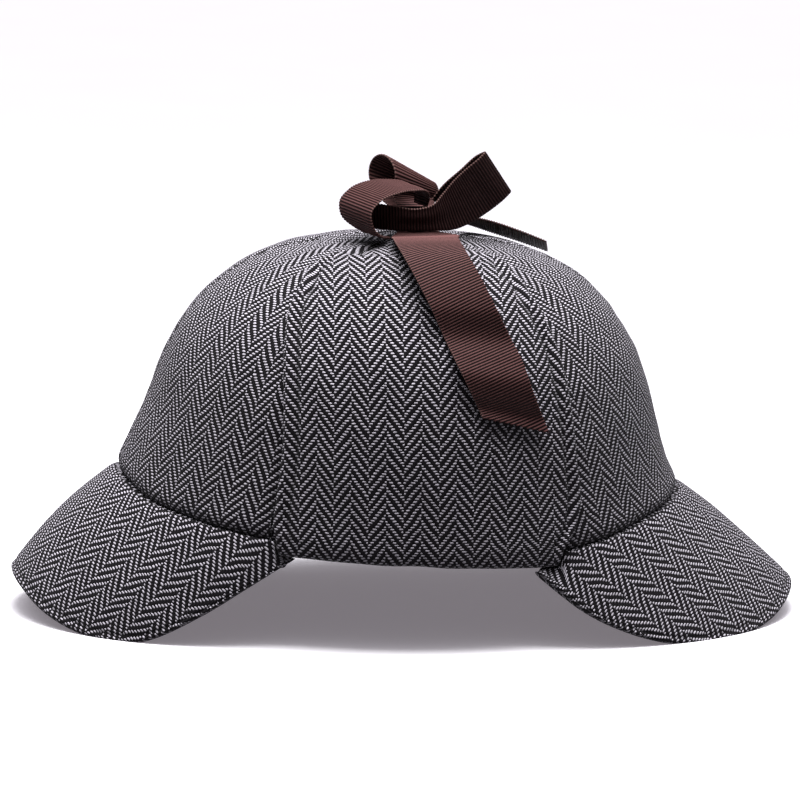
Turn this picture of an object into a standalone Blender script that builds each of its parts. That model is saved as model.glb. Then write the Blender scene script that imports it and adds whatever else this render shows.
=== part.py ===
"""Deerstalker hat: a six-panel crown, two brims, two ear flaps turned up and tied over it with a ribbon bow.

Lengths in the tables are millimetres.  +X is the front of the hat, -Y its near side, and Z = 0 the
surface that the brims rest on.  Angles round the head run from the front, 0 degrees, over the far side,
90, and the back, 180.
"""
import bpy
import numpy as np

MM = 0.001

# ---------------------------------------------------------------- driving dimensions
RIM_HALF_LENGTH = 102.5
RIM_HALF_WIDTH = 86.0
CROWN_TOP = 138.0
CROWN_WALL = 2.0
FLAP_WALL = 2.4
FLAP_CLEAR = 0.6  # between the crown and a flap turned up over it
BRIM_WALL = 3.0
RIBBON_WALL = 1.0
GAP = 0.35  # between pieces that touch
PANELS = 6
PANEL_END = 0.985  # the panels stop this share of the way up, where their points meet
MIDDLE_SHIFT = -2.0  # the crown stands this far behind the middle of the whole hat

# Grid lines of the walls, counted along and across each piece.
PANEL_LINES = (9, 13)
BRIM_LINES = 29  # between its tucked ends
FLAP_LINES = (13, 12)
STRAP_LINES = 15
TAIL_LINES = 24
LOOP_BACK_LINES = 37
ROW_LINES = 4  # from one row of a ribbon's table to the next
KNOT_SIDES = 16
HALVINGS = 24  # of the search for the crown's height above a point
TINY = 1e-6
SLOPE_STEP = 1e-3  # of turn and way, from which the crown's normal is worked out
SHARP_ANGLE = 40.0  # degrees between two faces from which their edge is drawn sharp
TWEED_GREY = (0.09, 0.085, 0.09)
RIBBON_BROWN = (0.07, 0.03, 0.025)

# Height of the crown's lower edge round the head: the hat lies a little nose down, its sides cut lower.
RIM_ROWS = (
    # turn, height
    (0, 47.0),
    (30, 42.3),
    (60, 34.3),
    (90, 33.8),
    (120, 38.8),
    (150, 45.8),
    (180, 53.0),
)

# The crown from its rim to its top: way is the share of the distance up the cloth, level the share of the
# height, and front, back and side the share of the rim's half length or half width kept there.
CROWN_ROWS = (
    # way, level, front, back, side
    (0.00, 0.000, 1.000, 1.015, 1.000),
    (0.08, 0.125, 0.952, 0.968, 0.994),
    (0.20, 0.300, 0.908, 0.905, 0.980),
    (0.32, 0.475, 0.862, 0.850, 0.955),
    (0.44, 0.640, 0.790, 0.775, 0.905),
    (0.56, 0.785, 0.684, 0.667, 0.815),
    (0.68, 0.893, 0.544, 0.536, 0.690),
    (0.80, 0.960, 0.372, 0.364, 0.505),
    (0.90, 0.990, 0.192, 0.188, 0.270),
    (1.00, 1.000, 0.000, 0.000, 0.000),
)

# A brim's outer edge in plan is half an oval; these rows give its height round the oval, whose turn runs
# from the middle of the brim, 0, to its end at the ear, 90.
BRIM_EDGE_ROWS = (
    # turn, back height, front height
    (0, 14.5, 10.0),
    (15, 11.6, 8.0),
    (30, 4.8, 2.6),
    (42, 0.6, -0.4),
    (50, -0.6, -0.8),
    (57, 0.6, -0.3),
    (70, 10.8, 5.2),
    (80, 21.6, 14.0),
    (90, 32.3, 29.0),
)
# end_x: distance of the brim's end from the crown's middle; reach: from there to the tip of the brim;
# half_width: of the oval; tuck: turn round the head from which the seam to the crown lies under the fold of
# an ear flap; seam_end: turn at which the seam ends; swell: how far the brim stands above a straight run
# from seam to edge.
BRIMS = {
    # name, side of the hat, end_x, reach, half_width, tuck, seam_end, swell
    "brim_back": (-1, 42.7, 99.8, 77.5, 61.3, 64.0, 2.4),
    "brim_front": (1, 41.5, 105.0, 82.0, 60.2, 64.5, 1.2),
}
TUCK_DROP = 5.0  # how much lower the seam lies there
TUCK_SPAN = 0.5  # degrees over which it goes down
BRIM_SHARES = (0.12, 0.3, 0.5, 0.7, 0.87, 1.0)  # of a brim's run out from its seam: its grid lines

# An ear flap, from its fold under the crown's edge to its tip: way up the crown, its back and front edges,
# and how far it stands off the crown in its middle.
FLAP_ROWS = (
    # way, back_x, front_x, stand_off
    (0.000, -48.5, 49.5, 0.0),
    (0.035, -49.6, 54.0, 0.2),
    (0.080, -48.8, 56.2, 0.5),
    (0.200, -46.6, 54.9, 1.0),
    (0.320, -46.0, 52.8, 1.2),
    (0.440, -45.6, 49.0, 1.2),
    (0.540, -43.8, 43.8, 1.0),
    (0.610, -40.3, 39.3, 0.8),
    (0.680, -36.4, 34.6, 0.6),
    (0.735, -31.0, 30.5, 0.4),
    (0.765, -26.0, 26.5, 0.3),
)
FLAP_FIRST_WAY = 0.012  # where the flap's cloth leaves its fold
# The far flap is pulled less far up: by how much way its tip stays back, and from which way that grows.
FLAP_SHORT = {-1: 0.0, 1: 0.075}
FLAP_MIDDLE = 0.32
# The fold: how far below the crown's edge, and how far off its outer face, the cloth's two faces lie.  Its
# outer face sags lower towards the flap's two ends.
FLAP_FOLD_ROWS = (
    # inner_drop, inner_off, outer_drop, outer_off
    (0.35, -2.0, 2.4, -2.0),
    (0.35, -0.2, 2.7, 0.0),
    (0.35, 0.4, 1.9, 1.9),
)
FOLD_SAG = 2.2
FOLD_SAG_POWER = 1.5  # of the share of the way from the flap's middle to its end

# The straps run from the flaps' tips, this far to each side, to the knot: share of that run, their back and
# front edges, and how far their middle layer lies above the crown.
STRAP_STARTS = {-1: 42.0, 1: 51.5}
STRAP_ROWS = (
    # share, back_x, front_x, height
    (0.00, -6.0, 14.5, 2.2),
    (0.15, -6.0, 14.5, 1.3),
    (0.40, -5.5, 13.5, 0.95),
    (0.70, -4.5, 12.0, 0.95),
    (1.00, -4.0, 10.0, 0.95),
)
# The near tail lies down the near flap in two waves: way up the crown, its edges, and how far it stands off.
TAIL_NEAR_ROWS = (
    # way, back_x, front_x, stand_off
    (0.860, -6.5, 16.9, 3.6),
    (0.790, -7.1, 15.2, 7.4),
    (0.725, -6.5, 14.7, 10.8),
    (0.690, -5.2, 15.6, 11.6),
    (0.620, -1.2, 19.6, 11.0),
    (0.560, 2.5, 23.8, 9.6),
    (0.495, 7.4, 30.3, 5.5),
    (0.450, 9.8, 32.7, 7.4),
    (0.410, 12.1, 34.2, 9.2),
    (0.370, 15.3, 37.3, 8.0),
    (0.335, 18.4, 40.9, 5.8),
    (0.316, 19.4, 42.0, 6.8),
)
TAIL_NEAR_ROOT = ((-5.5, -18.4, 139.7), (10.0, -18.2, 139.7))  # its two edges at the knot
TAIL_CUT = 0.044  # the cut end slants: its front corner lies this much lower
# The other ribbons: the middle of each fold, where its width points, as an angle in plan and a slope, and
# how wide it lies there, since it is gathered at the knot.
RIBBON_ROWS = {
    # x, y, z, aim, slope, width
    "bow_loop_left": (
        (3.5, -9.5, 148.95, -63, -6, 9),
        (3.8, -9.8, 152.2, -63, -6, 11),
        (1.5, -11.4, 155.3, -63, -6, 16),
        (-5.0, -14.5, 156.4, -63, -6, 20),
        (-11.5, -19.0, 156.0, -63, -6, 22),
        (-17.6, -23.0, 153.8, -63, -6, 22),
        (-21.3, -25.5, 149.6, -63, -6, 22),
        (-20.6, -25.2, 144.6, -63, -6, 22),
        (-16.8, -23.8, 140.8, -63, -6, 19),
        (-11.6, -21.0, 138.7, -63, -2, 12),
    ),
    "bow_loop_right": (
        (-16.4, -22.0, 146.5, 80, -72, 10.0),
        (-7.0, -22.5, 145.4, 80, -70, 9.4),
        (1.0, -22.6, 144.9, 80, -70, 8.5),
        (7.5, -21.6, 145.6, 62, -70, 10.2),
        (13.0, -18.3, 147.5, 48, -60, 15.6),
        (18.2, -15.4, 150.8, 46, -52, 19.5),
        (24.1, -12.6, 154.9, 45, -45, 22),
        (29.6, -11.0, 159.3, 45, -45, 22),
        (31.2, -9.4, 160.9, 45, -45, 22),
        (29.3, -8.4, 160.0, 45, -45, 22),
        (22.3, -8.8, 155.1, 44, -44, 20),
        (15.0, -8.8, 150.7, 42, -38, 16),
        (10.8, -8.4, 148.6, 42, -28, 11),
    ),
    "ribbon_tail_far": (
        (16.2, -3.4, 142.4, 60, -12, 12),
        (20.0, 5.0, 141.8, 75, -14, 18),
        (33.2, 19.0, 137.6, 83, -17, 22),
        (43.0, 20.5, 134.3, 82, -17, 22),
        (53.6, 22.0, 130.3, 81, -16, 22),
    ),
}
# The back loop stands over the knot like a slack roll, wide at its left end and narrow at its right one.
LOOP_BACK_ENDS = (
    # x, y, z, half_depth, half_height, root_x, root_y, root_z
    (-9.6, 5.0, 158.4, 9.5, 7.2, -4.0, -3.0, 147.2),
    (9.9, 9.0, 151.8, 3.4, 3.0, 8.0, -3.0, 147.2),
)
LOOP_BACK_OPEN = 100.0  # degrees of the roll left open underneath, where its two layers run to the knot
LOOP_BACK_TURN = 26.0  # degrees its ends are turned from the hat's cross plane
LOOP_BACK_ROOT = (1.2, 2.2)  # how much further back and lower its second layer meets the knot
# The knot: its middle, its half sizes, and how its section swells along it.
KNOT_MIDDLE = (2.0, -11.5, 144.0)
KNOT_HALF = (10.0, 9.0, 4.1)
KNOT_ROWS = (
    # along, size
    (-1.0, 0.45),
    (-0.8, 0.80),
    (-0.4, 1.00),
    (0.4, 1.00),
    (0.8, 0.80),
    (1.0, 0.45),
)


def smooth(at, knots, values):
    """A smooth curve through a table's rows: a cubic piece between rows, its slopes the rows' own means."""
    knots = np.asarray(knots, float)
    values = np.asarray(values, float)
    slopes = np.gradient(values, knots)
    row = np.clip(np.searchsorted(knots, at) - 1, 0, len(knots) - 2)
    span = knots[row + 1] - knots[row]
    part = (at - knots[row]) / span
    rise = values[row + 1] - values[row]
    start = slopes[row] * span
    end = slopes[row + 1] * span
    return values[row] + part * (start + part * (3 * rise - 2 * start - end + part * (start + end - 2 * rise)))


def mirrored(rows, column, about, sign=1.0):
    """A table's knots and one column, carried on past both ends so that the curve leaves them level."""
    knots = np.array([row[0] for row in rows], float)
    values = np.array([row[column] for row in rows], float)
    if "start" in about:
        knots = np.concatenate([[2 * knots[0] - knots[1]], knots])
        values = np.concatenate([[values[1]], values])
    if "end" in about:
        knots = np.concatenate([knots, [2 * knots[-1] - knots[-2]]])
        values = np.concatenate([values, [sign * values[-2]]])
    return knots, values


def rim_height(turn):
    """Height of the crown's lower edge at an angle round the head, the same on both sides."""
    degrees = np.degrees(np.arccos(np.clip(np.cos(turn), -1, 1)))
    return smooth(degrees, *mirrored(RIM_ROWS, 1, ("start", "end")))


def crown_point(turn, way):
    """Outer face of the crown at an angle round the head and a share of the way from rim to top."""
    level = smooth(way, *mirrored(CROWN_ROWS, 1, ("end",)))
    front, back, side = (smooth(way, *mirrored(CROWN_ROWS, column, ("end",), -1.0)) for column in (2, 3, 4))
    along = np.where(np.cos(turn) > 0, front, back)
    rim = rim_height(turn)
    x = MIDDLE_SHIFT + RIM_HALF_LENGTH * along * np.cos(turn)
    y = RIM_HALF_WIDTH * side * np.sin(turn)
    return np.stack(np.broadcast_arrays(x, y, rim + (CROWN_TOP - rim) * level), -1)


def unit(vectors):
    """Vectors scaled to length one."""
    return vectors / np.linalg.norm(vectors, axis=-1, keepdims=True)


def crown_off(turn, way, off):
    """A point that lies off the crown's outer face, along its normal; inside where off is negative."""
    turn, way, off = np.broadcast_arrays(turn, way, off)
    across = crown_point(turn + SLOPE_STEP, way) - crown_point(turn - SLOPE_STEP, way)
    up = crown_point(turn, way + SLOPE_STEP) - crown_point(turn, way - SLOPE_STEP)
    return crown_point(turn, way) + unit(np.cross(across, up)) * off[..., None]


def grid_normals(points):
    """Normals of a surface given as a grid of points, from the differences between neighbours."""
    return unit(np.cross(np.gradient(points, axis=0), np.gradient(points, axis=1)))


def add_material(name, colour, roughness):
    """A plain cloth material with the piece's own colour."""
    material = bpy.data.materials.new(name)
    material.use_nodes = True
    shader = material.node_tree.nodes["Principled BSDF"]
    shader.inputs["Base Color"].default_value = (*colour, 1.0)
    shader.inputs["Roughness"].default_value = roughness
    shader.inputs["Metallic"].default_value = 0.0
    return material


def add_wall(name, outer, inner, material):
    """A closed cloth wall between two grids of points, joined round their four borders."""
    rows, columns = outer.shape[:2]
    count = rows * columns
    index = np.arange(count).reshape(rows, columns)
    quads = np.stack([index[:-1, :-1], index[1:, :-1], index[1:, 1:], index[:-1, 1:]], -1).reshape(-1, 4)
    border = np.concatenate([index[:-1, 0], index[-1, :-1], index[:0:-1, -1], index[0, :0:-1]])
    following = np.roll(border, -1)
    sides = np.stack([following, border, border + count, following + count], -1)
    faces = np.concatenate([quads, quads[:, ::-1] + count, sides])
    points = np.concatenate([outer.reshape(-1, 3), inner.reshape(-1, 3)])
    corners = points[faces]
    volume = sum(
        np.einsum("ij,ij->", corners[:, 0], np.cross(corners[:, a], corners[:, a + 1])) for a in (1, 2)
    )
    if volume < 0:
        faces = faces[:, ::-1]
    mesh = bpy.data.meshes.new(name)
    mesh.from_pydata((points * MM).tolist(), [], faces.tolist())
    mesh.shade_smooth()
    mesh.set_sharp_from_angle(angle=np.radians(SHARP_ANGLE))
    mesh.materials.append(material)
    piece = bpy.data.objects.new(name, mesh)
    bpy.context.collection.objects.link(piece)
    return piece


def add_crown_panel(name, number, material):
    """One of the crown's panels: a gore of the dome between two seams, clear of its neighbours by the gap."""
    span = 2 * np.pi / PANELS
    across, up = PANEL_LINES
    turn = (number + np.linspace(0, 1, across)[:, None]) * span
    way = PANEL_END * np.linspace(0, 1, up)[None, :]
    outer = crown_off(turn, way, 0.0)
    inner = crown_off(turn, way, -CROWN_WALL)
    for seam, sign in ((0, 1), (-1, -1)):
        angle = turn[seam, 0]
        aside = np.array([-np.sin(angle), np.cos(angle), 0.0]) * sign * GAP / 2
        outer[seam] += aside
        inner[seam] += aside
    return add_wall(name, outer, inner, material)


def brim_edge(side, end_x, reach, half_width, turn):
    """Outer edge of a brim: half an oval in plan, at the heights of its table."""
    column = 1 if side < 0 else 2
    knots, heights = mirrored(BRIM_EDGE_ROWS, column, ("start",))
    x = MIDDLE_SHIFT + side * (end_x + reach * np.cos(turn))
    y = half_width * np.sin(turn)
    z = smooth(np.degrees(np.abs(turn)), knots, heights)
    return np.stack([x, y, z], -1)


def add_brim(name, material):
    """A brim: straight lines from the seam under the crown's edge out to its own edge, slightly swelled.

    Its ends go under the folds of the ear flaps, where its seam lies lower.  Where its edge would go below
    the resting surface it is pressed flat on it.
    """
    side, end_x, reach, half_width, tuck, seam_end, swell_height = BRIMS[name]
    open_share, tucked_share = tuck / seam_end, (tuck + TUCK_SPAN) / seam_end
    share = np.linspace(-open_share, open_share, BRIM_LINES)
    share = np.concatenate([[-1, -tucked_share], share, [tucked_share, 1]])
    middle = 0.0 if side > 0 else np.pi
    seam_turn = middle + side * np.radians(seam_end) * share
    edge = brim_edge(side, end_x, reach, half_width, np.pi / 2 * share)
    drop = np.array([0, 0, GAP])
    ledge = crown_off(seam_turn, 0.0, -CROWN_WALL) - drop
    seam = crown_off(seam_turn, 0.0, GAP) - drop
    out = np.array(BRIM_SHARES)[:, None]
    surface = seam[:, None] * (1 - out) + edge[:, None] * out
    top = np.concatenate([ledge[:, None], seam[:, None], surface], 1)
    normal = grid_normals(top)
    normal *= np.sign(normal[..., 2:].mean())
    out = np.concatenate([[0, 0], BRIM_SHARES])
    swell = swell_height * np.sin(np.pi * out) * np.cos(share[:, None] * np.pi / 2)
    top = top + normal * swell[..., None]
    top[np.abs(share) > open_share * (1 + TINY), :, 2] -= TUCK_DROP * (1 - out)
    under = top - normal * BRIM_WALL
    for face in (top, under):
        face[..., 2] = np.maximum(face[..., 2], 0.0)
    return add_wall(name, top, under, material)


def add_ear_flap(name, side, material):
    """An ear flap: cloth folded under the crown's edge and turned up flat over the side of the crown."""
    across, up = FLAP_LINES
    way = np.concatenate([[FLAP_FIRST_WAY], np.linspace(FLAP_ROWS[1][0], FLAP_ROWS[-1][0], up)])
    knots = [row[0] for row in FLAP_ROWS]
    back, front, stand_off = (smooth(way, knots, [row[k] for row in FLAP_ROWS]) for k in (1, 2, 3))
    share = np.linspace(0, 1, across)[:, None]
    x = back + (front - back) * share
    way -= FLAP_SHORT[side] * np.clip((way - FLAP_MIDDLE) / (way[-1] - FLAP_MIDDLE), 0, 1)
    turn = turn_at(x, way, side)
    off = FLAP_CLEAR + stand_off * np.sin(np.pi * share)
    inner = crown_off(turn, way, off)
    outer = crown_off(turn, way, off + FLAP_WALL)
    fold_x = FLAP_ROWS[0][1] + (FLAP_ROWS[0][2] - FLAP_ROWS[0][1]) * share[:, 0]
    fold_turn = turn_at(fold_x, 0.0, side)
    folds = np.array(FLAP_FOLD_ROWS)
    down = np.array([0.0, 0.0, 1.0])
    sag = FOLD_SAG * np.abs(2 * share - 1) ** FOLD_SAG_POWER
    inner_fold = [crown_off(fold_turn, 0.0, row[1]) - down * row[0] for row in folds]
    outer_fold = [crown_off(fold_turn, 0.0, row[3]) - down * (row[2] + sag) for row in folds]
    inner = np.concatenate([np.stack(inner_fold, 1), inner], 1)
    outer = np.concatenate([np.stack(outer_fold, 1), outer], 1)
    return add_wall(name, outer, inner, material)


def turn_at(x, way, side):
    """The angle round the head at which the crown has this x, on the near side, -1, or the far side, 1."""
    front, back = (smooth(way, *mirrored(CROWN_ROWS, column, ("end",), -1.0)) for column in (2, 3))
    along = np.where(x > 0, front, back)
    return side * np.arccos(np.clip(x / (RIM_HALF_LENGTH * along), -1, 1))


def crown_height(x, y):
    """Height of the crown's outer face above a point in plan, found by halving the way up the cloth."""
    low = np.zeros_like(x)
    high = np.ones_like(x)
    for _ in range(HALVINGS):
        way = (low + high) / 2
        front, back, side = (
            smooth(way, *mirrored(CROWN_ROWS, column, ("end",), -1.0)) for column in (2, 3, 4)
        )
        along = RIM_HALF_LENGTH * np.where(x > MIDDLE_SHIFT, front, back)
        inside = ((x - MIDDLE_SHIFT) / along) ** 2 + (y / (RIM_HALF_WIDTH * side)) ** 2 < 1
        low = np.where(inside, way, low)
        high = np.where(inside, high, way)
    return crown_point(np.arctan2(y * along, (x - MIDDLE_SHIFT) * RIM_HALF_WIDTH * side), low)[..., 2]


def add_strip(name, back, front, steps, material):
    """A ribbon between two edges, each a smooth curve through its rows of points."""
    back = np.asarray(back, float)
    front = np.asarray(front, float)
    middle = (back + front) / 2
    knots = np.concatenate([[0], np.cumsum(np.linalg.norm(np.diff(middle, axis=0), axis=1))])
    at = np.linspace(0, knots[-1], steps)
    edges = [np.stack([smooth(at, knots, edge[:, k]) for k in range(3)], -1) for edge in (back, front)]
    grid = np.stack([edges[0], (edges[0] + edges[1]) / 2, edges[1]], 1)
    shift = grid_normals(grid) * RIBBON_WALL / 2
    return add_wall(name, grid + shift, grid - shift, material)


def add_strap(name, side, material):
    """A strap laid over the crown from a flap's tip to the knot."""
    rows = np.array(STRAP_ROWS)
    y = side * STRAP_STARTS[side] * (1 - rows[:, 0]) + (KNOT_MIDDLE[1] + side) * rows[:, 0]
    edges = [np.stack([x, y, crown_height(x, y) + rows[:, 3]], -1) for x in (rows[:, 1], rows[:, 2])]
    return add_strip(name, *edges, STRAP_LINES, material)


def add_tail_near(name, material):
    """The near tail: from under the knot's front down over the near flap, its end cut on a slant."""
    rows = np.array(TAIL_NEAR_ROWS)
    slant = np.linspace(0, 1, len(rows)) ** 2 * TAIL_CUT
    edges = []
    for column, cut, root in zip((1, 2), (0.0, slant), TAIL_NEAR_ROOT):
        way = rows[:, 0] - cut
        edges.append(np.concatenate([[root], crown_off(turn_at(rows[:, column], way, -1), way, rows[:, 3])]))
    return add_strip(name, *edges, TAIL_LINES, material)


def add_ribbon(name, material):
    """A ribbon whose folds stand in a table by their middles and the direction of their width."""
    rows = np.array(RIBBON_ROWS[name], float)
    aim, slope = np.radians(rows[:, 3]), np.radians(rows[:, 4])
    width = np.stack([np.cos(slope) * np.cos(aim), np.cos(slope) * np.sin(aim), np.sin(slope)], -1)
    half = rows[:, 5:] / 2 * width
    lines = ROW_LINES * (len(rows) - 1) + 1
    return add_strip(name, rows[:, :3] - half, rows[:, :3] + half, lines, material)


def add_loop_back(name, material):
    """The back loop: a roll ruled between two ovals, its two layers running on underneath to the knot."""
    opening = np.radians(LOOP_BACK_OPEN) / 2
    round_about = np.linspace(opening, 2 * np.pi - opening, LOOP_BACK_LINES // 3 + 1)
    turn = np.radians(LOOP_BACK_TURN)
    back, lower = LOOP_BACK_ROOT
    edges = []
    for x, y, z, half_depth, half_height, root_x, root_y, root_z in LOOP_BACK_ENDS:
        depth = half_depth * np.sin(round_about)
        height = half_height * np.cos(round_about)
        oval = np.stack([x + depth * np.sin(turn), y - depth * np.cos(turn), z - height], -1)
        edges.append([(root_x, root_y, root_z), *oval, (root_x, root_y + back, root_z - lower)])
    return add_strip(name, *edges, LOOP_BACK_LINES, material)


def add_knot(name, material):
    """The knot: oval sections along the hat, closed at both ends."""
    angle = np.linspace(0, 2 * np.pi, KNOT_SIDES, endpoint=False)
    rows = np.array(KNOT_ROWS)
    points = np.array(
        [
            np.stack(
                [
                    np.full(KNOT_SIDES, KNOT_MIDDLE[0] + KNOT_HALF[0] * along),
                    KNOT_MIDDLE[1] + KNOT_HALF[1] * size * np.cos(angle),
                    KNOT_MIDDLE[2] + KNOT_HALF[2] * size * np.sin(angle),
                ],
                -1,
            )
            for along, size in rows
        ]
    )
    index = np.arange(len(rows) * KNOT_SIDES).reshape(len(rows), KNOT_SIDES)
    after = np.roll(index, -1, axis=1)
    faces = np.stack([index[:-1], index[1:], after[1:], after[:-1]], -1).reshape(-1, 4).tolist()
    faces += [index[0].tolist(), index[-1, ::-1].tolist()]
    mesh = bpy.data.meshes.new(name)
    mesh.from_pydata((points.reshape(-1, 3) * MM).tolist(), [], [face[::-1] for face in faces])
    mesh.shade_smooth()
    mesh.materials.append(material)
    knot = bpy.data.objects.new(name, mesh)
    bpy.context.collection.objects.link(knot)
    return knot


def main():
    for thing in list(bpy.data.objects):
        bpy.data.objects.remove(thing)
    tweed = add_material("herringbone_tweed", TWEED_GREY, 0.9)
    ribbon = add_material("brown_grosgrain_ribbon", RIBBON_BROWN, 0.75)
    panel_names = (
        "crown_front_far",
        "crown_side_far",
        "crown_back_far",
        "crown_back_near",
        "crown_side_near",
        "crown_front_near",
    )
    for number, name in enumerate(panel_names):
        add_crown_panel(name, number, tweed)
    for name in BRIMS:
        add_brim(name, tweed)
    add_ear_flap("ear_flap_near", -1, tweed)
    add_ear_flap("ear_flap_far", 1, tweed)
    add_strap("ribbon_strap_near", -1, ribbon)
    add_strap("ribbon_strap_far", 1, ribbon)
    add_tail_near("ribbon_tail_near", ribbon)
    for name in RIBBON_ROWS:
        add_ribbon(name, ribbon)
    add_loop_back("bow_loop_back", ribbon)
    add_knot("bow_knot", ribbon)


main()
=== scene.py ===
"""Deerstalker hat: each piece finished as woven tweed or ribbed ribbon, with a floor, light and camera.

Lengths in the tables are millimetres.  +X is the front of the hat, -Y its near side, and Z = 0 the surface
that the brims rest on.  Angles round the head run from the front, 0 degrees, over the far side, 90, and the
back, 180.  Each piece of cloth is a grid of points with a flat pattern beside it: how far across and along
the cut cloth each point lies, which its weave is drawn from.
"""

import bpy
import numpy as np
from mathutils import Matrix


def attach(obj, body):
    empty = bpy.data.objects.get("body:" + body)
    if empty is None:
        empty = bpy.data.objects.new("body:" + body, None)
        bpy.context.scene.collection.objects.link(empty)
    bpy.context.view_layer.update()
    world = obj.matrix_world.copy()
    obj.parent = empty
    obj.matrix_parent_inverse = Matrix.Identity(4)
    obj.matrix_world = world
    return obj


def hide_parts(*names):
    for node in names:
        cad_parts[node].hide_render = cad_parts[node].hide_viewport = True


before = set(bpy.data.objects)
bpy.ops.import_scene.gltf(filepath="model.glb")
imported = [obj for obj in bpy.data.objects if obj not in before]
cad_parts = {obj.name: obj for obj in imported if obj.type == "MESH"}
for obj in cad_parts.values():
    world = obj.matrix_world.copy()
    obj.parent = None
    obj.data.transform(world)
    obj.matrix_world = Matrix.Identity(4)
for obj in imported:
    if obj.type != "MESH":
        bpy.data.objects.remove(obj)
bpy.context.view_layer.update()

MM = 0.001

# ---- the hat's sizes
RIM_HALF_LENGTH = 102.5
RIM_HALF_WIDTH = 86.0
CROWN_TOP = 138.0
CROWN_WALL = 2.0
FLAP_WALL = 2.4
FLAP_CLEAR = 0.6  # between the crown and a flap turned up over it
BRIM_WALL = 3.0
RIBBON_WALL = 0.9
RIBBON_WIDTH = 22.0
GAP = 0.1  # between pieces that touch
PANELS = 6
SIDES = {-1: "near", 1: "far"}
PANEL_END = 0.985  # the panels stop this share of the way up, where their points meet
MIDDLE_SHIFT = -2.0  # the crown stands this far behind the middle of the whole hat

# Height of the crown's lower edge round the head.
RIM_ROWS = (
    # turn, height
    (0, 47.0),
    (30, 42.3),
    (60, 34.3),
    (90, 33.8),
    (120, 38.8),
    (150, 45.8),
    (180, 53.0),
)

# The crown from its rim to its top: way is the share of the distance up the cloth, level the share of the
# height, and front, back and side the share of the rim's half length or half width kept there.
CROWN_ROWS = (
    # way, level, front, back, side
    (0.00, 0.000, 1.000, 1.015, 1.000),
    (0.08, 0.125, 0.952, 0.968, 0.994),
    (0.20, 0.300, 0.908, 0.905, 0.980),
    (0.32, 0.475, 0.862, 0.850, 0.955),
    (0.44, 0.640, 0.790, 0.775, 0.905),
    (0.56, 0.785, 0.684, 0.667, 0.815),
    (0.68, 0.893, 0.544, 0.536, 0.690),
    (0.80, 0.960, 0.372, 0.364, 0.505),
    (0.90, 0.990, 0.192, 0.188, 0.270),
    (1.00, 1.000, 0.000, 0.000, 0.000),
)

# A brim's outer edge in plan is half an oval; these rows give its height round the oval.
BRIM_EDGE_ROWS = (
    # turn, back height, front height
    (0, 14.5, 10.0),
    (15, 11.6, 8.0),
    (30, 4.8, 2.6),
    (42, 0.6, -0.4),
    (50, -0.6, -0.8),
    (57, 0.6, -0.3),
    (70, 10.8, 5.2),
    (80, 21.6, 14.0),
    (90, 32.3, 29.0),
)
BRIMS = {
    # name, side of the hat, end_x, reach, half_width, tuck, seam_end, swell
    "brim_back": (-1, 42.7, 99.8, 77.5, 61.3, 64.0, 2.4),
    "brim_front": (1, 41.5, 105.0, 82.0, 60.2, 64.5, 1.2),
}
TUCK_DROP = 5.0  # how much lower a brim's seam lies under the fold of an ear flap
TUCK_SPAN = 0.5  # degrees over which it goes down

# An ear flap, from its fold under the crown's edge to its tip.
FLAP_ROWS = (
    # way, back_x, front_x, stand_off
    (0.000, -48.5, 49.5, 0.0),
    (0.035, -49.6, 54.0, 0.2),
    (0.080, -48.8, 56.2, 0.5),
    (0.200, -46.6, 54.9, 1.0),
    (0.320, -46.0, 52.8, 1.2),
    (0.440, -45.6, 49.0, 1.2),
    (0.540, -43.8, 43.8, 1.0),
    (0.610, -40.3, 39.3, 0.8),
    (0.680, -36.4, 34.6, 0.6),
    (0.735, -31.0, 30.5, 0.4),
    (0.765, -26.0, 26.5, 0.3),
)
FLAP_FOLD_ROWS = (
    # inner_drop, inner_off, outer_drop, outer_off
    (0.35, -2.0, 2.4, -2.0),
    (0.35, -0.2, 2.7, 0.0),
    (0.35, 0.4, 1.9, 1.9),
)
FOLD_SAG = 2.2  # how much lower the fold hangs at the flap's two ends
FOLD_SAG_POWER = 1.5  # of the share of the way from the flap's middle to its end
FLAP_FIRST_WAY = 0.012  # where the flap's cloth leaves its fold
# The far flap is pulled less far up: by how much way its tip stays back, and from which way that grows.
FLAP_SHORT = {-1: 0.0, 1: 0.075}
FLAP_MIDDLE = 0.32
FLAP_LINES = 24  # from the fold to the tip, at which the flap's table is read

# The straps run from the flaps' tips, this far to each side, to the knot.
STRAP_STARTS = {-1: 42.0, 1: 51.5}
STRAP_ROWS = (
    # share, back_x, front_x, height
    (0.00, -6.0, 14.5, 2.2),
    (0.15, -6.0, 14.5, 1.3),
    (0.40, -5.5, 13.5, 0.95),
    (0.70, -4.5, 12.0, 0.95),
    (1.00, -4.0, 10.0, 0.95),
)
# The near tail lies down the near flap in two waves; its two edges start at the knot.
TAIL_NEAR_ROWS = (
    # way, back_x, front_x, stand_off
    (0.860, -6.5, 16.9, 3.6),
    (0.790, -7.1, 15.2, 7.4),
    (0.725, -6.5, 14.7, 10.8),
    (0.690, -5.2, 15.6, 11.6),
    (0.620, -1.2, 19.6, 11.0),
    (0.560, 2.5, 23.8, 9.6),
    (0.495, 7.4, 30.3, 5.5),
    (0.450, 9.8, 32.7, 7.4),
    (0.410, 12.1, 34.2, 9.2),
    (0.370, 15.3, 37.3, 8.0),
    (0.335, 18.4, 40.9, 5.8),
    (0.316, 19.4, 42.0, 6.8),
)
TAIL_NEAR_ROOT = ((-5.5, -18.4, 139.7), (10.0, -18.2, 139.7))
TAIL_CUT = 0.044  # the cut end slants: its front corner lies this much lower
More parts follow.
